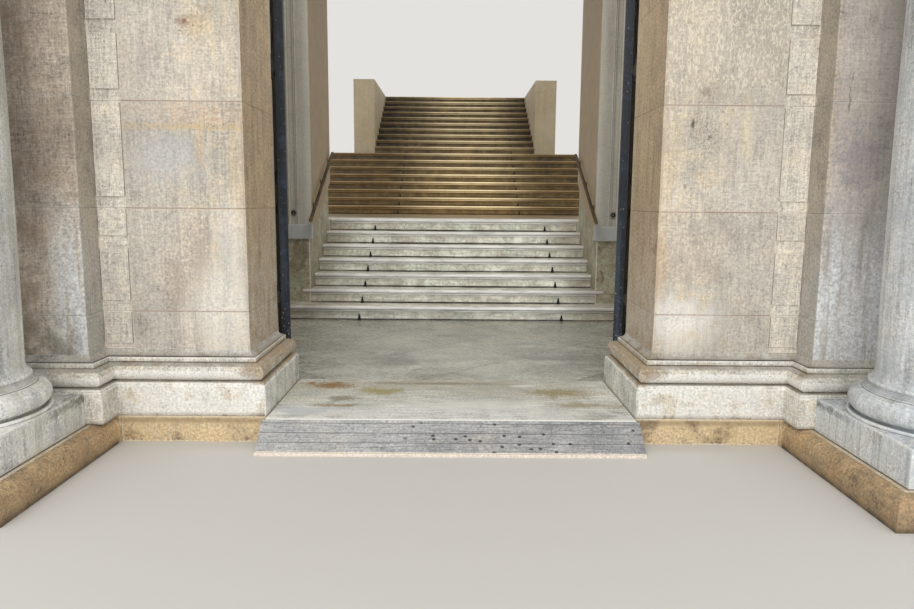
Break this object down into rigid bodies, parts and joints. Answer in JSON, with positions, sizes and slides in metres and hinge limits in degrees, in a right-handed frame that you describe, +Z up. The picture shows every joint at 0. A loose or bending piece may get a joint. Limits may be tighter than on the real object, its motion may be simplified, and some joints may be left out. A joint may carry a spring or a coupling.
{
  "type": "entrance portal",
  "caption": "Columned stone entrance portal with a pair of hinged door leaves, a vestibule and a marble stair behind it.",
  "frame": {"origin": "on the ground under the threshold, on the door's axis, in the plane of the pier plinths' fronts", "axes": "+Z up, +Y into the building, +X to the right as one enters"},
  "size_m": [7.39, 17.35, 6.875],
  "materials": {
    "pale_limestone": "sawn limestone, stained and worn",
    "tooled_limestone": "bush-hammered limestone",
    "yellow_limestone": "worn yellow limestone",
    "white_marble": "weathered white marble",
    "grey_marble": "honed grey marble",
    "ramp_stone": "grooved grey stone",
    "floor_marble": "polished grey-green marble",
    "stair_marble": "worn cream marble",
    "dado_marble": "polished veined marble",
    "plaster": "painted plaster",
    "masonry": "rubble masonry",
    "casing_paint": "off-white paint",
    "door_paint": "slate blue gloss paint",
    "black_iron": "black paint",
    "hinge_steel": "worn steel",
    "bronze": "dark bronze"
  },
  "bodies": {
    "portal": {"base_course_left": "yellow_limestone", "base_course_right": "yellow_limestone", "threshold_slab": "white_marble", "entrance_ramp": "ramp_stone", "vestibule_floor": "floor_marble", "wall_base_left": "white_marble", "wall_base_right": "white_marble", "pier_left": "pale_limestone", "pier_right": "pale_limestone", "panel_strips": "tooled_limestone", "pilaster_left": "pale_limestone", "pilaster_right": "pale_limestone", "column_base_left": "grey_marble", "column_base_right": "grey_marble", "column_shaft_left": "grey_marble", "column_shaft_right": "grey_marble", "column_capital_left": "grey_marble", "column_capital_right": "grey_marble", "wall_head": "pale_limestone", "architrave": "pale_limestone", "frieze": "pale_limestone", "cornice": "pale_limestone", "vestibule_wall_left": "plaster", "vestibule_wall_right": "plaster", "vestibule_ceiling": "plaster", "inner_wall_left": "plaster", "inner_wall_right": "plaster", "inner_head": "plaster", "casing_left": "casing_paint", "casing_right": "casing_paint", "casing_head": "casing_paint", "dado_left": "dado_marble", "dado_right": "dado_marble", "step_1": "stair_marble", "step_2": "stair_marble", "step_3": "stair_marble", "step_4": "stair_marble", "step_5": "stair_marble", "step_6": "stair_marble", "stair_core": "masonry", "landing": "stair_marble", "upper_flight": "stair_marble", "upper_landing": "stair_marble", "stair_wall_left": "plaster", "stair_wall_right": "plaster", "stair_wall_rear": "plaster", "handrail_left": "bronze", "handrail_right": "bronze", "hinge_post_left": "black_iron", "hinge_post_right": "black_iron"},
    "leaf_left": {"door_leaf_left": "door_paint", "hinge_straps_left": "hinge_steel"},
    "leaf_right": {"door_leaf_right": "door_paint", "hinge_straps_right": "hinge_steel"}
  },
  "joints": [
    {"name": "leaf_left_hinge", "type": "hinge", "parent": "portal", "child": "leaf_left", "pos_m": [-1.394, 1.114, 0.175], "axis": [0, 0, 1], "range_deg": [-105, 0]},
    {"name": "leaf_right_hinge", "type": "hinge", "parent": "portal", "child": "leaf_right", "pos_m": [1.394, 1.114, 0.175], "axis": [0, 0, 1], "range_deg": [0, 105]}
  ]
}
